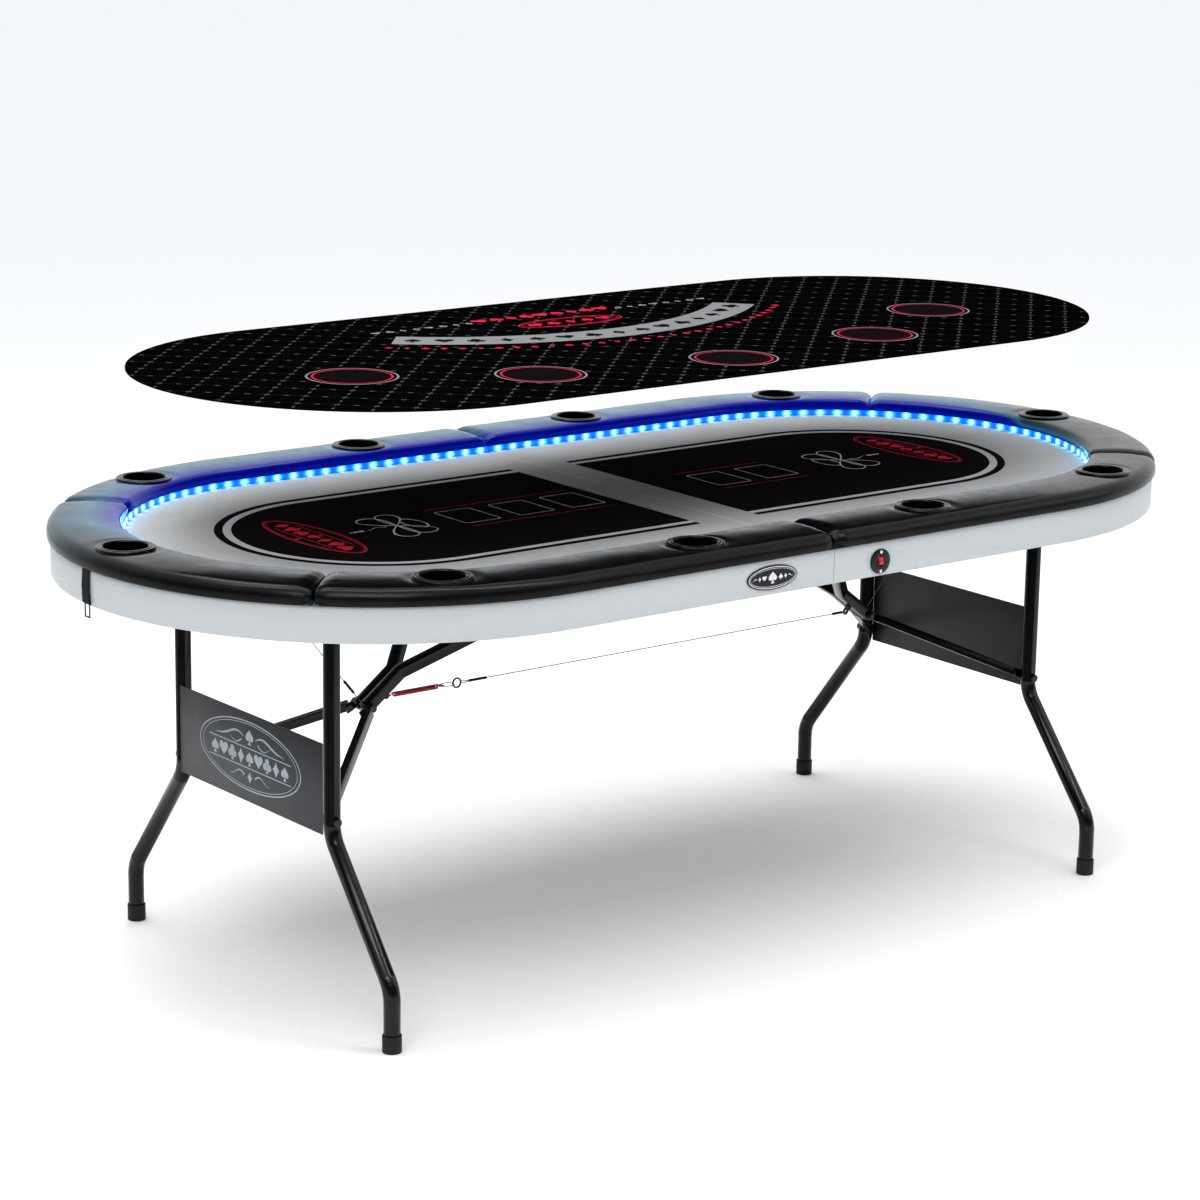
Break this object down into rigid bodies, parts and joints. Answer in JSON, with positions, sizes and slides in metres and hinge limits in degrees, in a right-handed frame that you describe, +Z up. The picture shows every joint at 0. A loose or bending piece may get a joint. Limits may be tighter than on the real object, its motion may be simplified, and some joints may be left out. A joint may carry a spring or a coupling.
{
  "type": "folding blackjack table",
  "caption": "Stadium-shaped folding card table with padded rail, cup holders, lit playfield well, two folding leg frames and a lift-off blackjack mat.",
  "frame": {"origin": "on the floor, under the centre of the table top, where the fold line crosses the long centre line", "axes": "+X along the table's length towards the half with the light switch, +Y away from the side with the switch and badge, +Z up"},
  "size_m": [2.118, 1.068, 1.0025],
  "materials": {
    "board_black": "matte black laminate",
    "plywood": "bare",
    "apron_silver": "satin silver grey laminate",
    "playfield_cloth": "speed cloth",
    "vinyl": "semi-gloss",
    "cup_plastic": "gloss",
    "led_tape": "matte",
    "led_chip": "lit",
    "beam_black": "matte",
    "hinge_steel": "zinc plated",
    "bracket_black": "satin",
    "leg_black": "gloss",
    "panel_grey": "satin powder coat",
    "foot_rubber": "matte",
    "bolt_steel": "zinc plated",
    "spring_red": "gloss",
    "cable_steel": "bright",
    "fitting_black": "matte",
    "webbing": "woven",
    "clip_steel": "bright",
    "badge_black": "gloss",
    "switch_black": "satin",
    "switch_red": "gloss",
    "battery_black": "matte",
    "mat_cloth": "woven, printed"
  },
  "bodies": {
    "left_half": {"left_board": "board_black", "left_rail_base": "plywood", "left_apron": "apron_silver", "left_playfield": "playfield_cloth", "left_end_pad": "vinyl", "left_front_pad": "vinyl", "left_back_pad": "vinyl", "left_cup_holders": "cup_plastic", "left_led_strip": "led_tape", "left_led_chips": "led_chip", "left_centre_beam": "beam_black", "left_hinge_leaves": "hinge_steel", "left_brackets": "bracket_black", "left_release_wire": "cable_steel", "badge": "badge_black", "tension_spring": "spring_red", "tension_cable": "cable_steel", "cable_fittings": "fitting_black", "strap": "webbing", "hinge_pins": "hinge_steel"},
    "right_half": {"right_board": "board_black", "right_rail_base": "plywood", "right_apron": "apron_silver", "right_playfield": "playfield_cloth", "right_end_pad": "vinyl", "right_front_pad": "vinyl", "right_back_pad": "vinyl", "right_cup_holders": "cup_plastic", "right_led_strip": "led_tape", "right_led_chips": "led_chip", "right_centre_beam": "beam_black", "right_hinge_leaves": "hinge_steel", "right_brackets": "bracket_black", "right_release_wire": "cable_steel", "switch_plate": "switch_black", "switch_screws": "bolt_steel", "battery_box": "battery_black", "battery_cover": "battery_black"},
    "strap_clip": {"strap_clip": "clip_steel"},
    "switch_rocker": {"switch_rocker": "switch_red"},
    "mat": {"blackjack_mat": "mat_cloth"},
    "left_legs": {"left_leg_tube_front": "leg_black", "left_leg_tube_back": "leg_black", "left_leg_crossbar": "leg_black", "left_leg_panel": "panel_grey", "left_foot_caps": "foot_rubber", "left_leg_bolts": "bolt_steel"},
    "left_lower_brace": {"left_lower_braces": "bracket_black", "left_hub_bolts": "bolt_steel"},
    "left_upper_brace": {"left_upper_braces": "leg_black"},
    "right_legs": {"right_leg_tube_front": "leg_black", "right_leg_tube_back": "leg_black", "right_leg_crossbar": "leg_black", "right_leg_panel": "panel_grey", "right_foot_caps": "foot_rubber", "right_leg_bolts": "bolt_steel"},
    "right_lower_brace": {"right_lower_braces": "bracket_black", "right_hub_bolts": "bolt_steel"},
    "right_upper_brace": {"right_upper_braces": "leg_black"}
  },
  "joints": [
    {"name": "center_fold", "type": "hinge", "parent": "left_half", "child": "right_half", "pos_m": [0, 0, 0.6685], "axis": [0, 1, 0], "range_deg": [0, 90]},
    {"name": "left_legs_fold", "type": "hinge", "parent": "left_half", "child": "left_legs", "pos_m": [-0.763, 0, 0.69], "axis": [0, -1, 0], "range_deg": [0, 90], "deforming": ["left_release_wire"]},
    {"name": "left_lower_brace_swing", "type": "hinge", "parent": "left_legs", "child": "left_lower_brace", "pos_m": [-0.763, 0, 0.333], "axis": [0, -1, 0], "range_deg": [0, 63.7]},
    {"name": "left_upper_brace_swing", "type": "hinge", "parent": "left_half", "child": "left_upper_brace", "pos_m": [-0.20997, 0, 0.697], "axis": [0, 1, 0], "range_deg": [0, 36.28], "deforming": ["tension_spring", "tension_cable", "cable_fittings"]},
    {"name": "right_legs_fold", "type": "hinge", "parent": "right_half", "child": "right_legs", "pos_m": [0.763, 0, 0.69], "axis": [0, 1, 0], "range_deg": [0, 90], "deforming": ["right_release_wire"]},
    {"name": "right_lower_brace_swing", "type": "hinge", "parent": "right_legs", "child": "right_lower_brace", "pos_m": [0.763, 0, 0.333], "axis": [0, 1, 0], "range_deg": [0, 63.7]},
    {"name": "right_upper_brace_swing", "type": "hinge", "parent": "right_half", "child": "right_upper_brace", "pos_m": [0.20997, 0, 0.697], "axis": [0, -1, 0], "range_deg": [0, 36.28]},
    {"name": "mat_lift", "type": "slide", "parent": "left_half", "child": "mat", "axis": [0, 0, 1], "range_m": [-0.2685, 0]},
    {"name": "switch_press", "type": "hinge", "parent": "right_half", "child": "switch_rocker", "pos_m": [0.099, -0.526, 0.697], "axis": [1, 0, 0], "range_deg": [-14, 0]},
    {"name": "strap_clip_swing", "type": "hinge", "parent": "left_half", "child": "strap_clip", "pos_m": [-1.0547, 0.02, 0.6767], "axis": [0, 1, 0], "range_deg": [0, 80]}
  ],
  "couplings": [
    {"joint": "left_lower_brace_swing", "follows": "left_legs_fold", "ratio": 0.70726},
    {"joint": "left_upper_brace_swing", "follows": "left_legs_fold", "ratio": 0.40253},
    {"joint": "right_lower_brace_swing", "follows": "right_legs_fold", "ratio": 0.70726},
    {"joint": "right_upper_brace_swing", "follows": "right_legs_fold", "ratio": 0.40253}
  ]
}
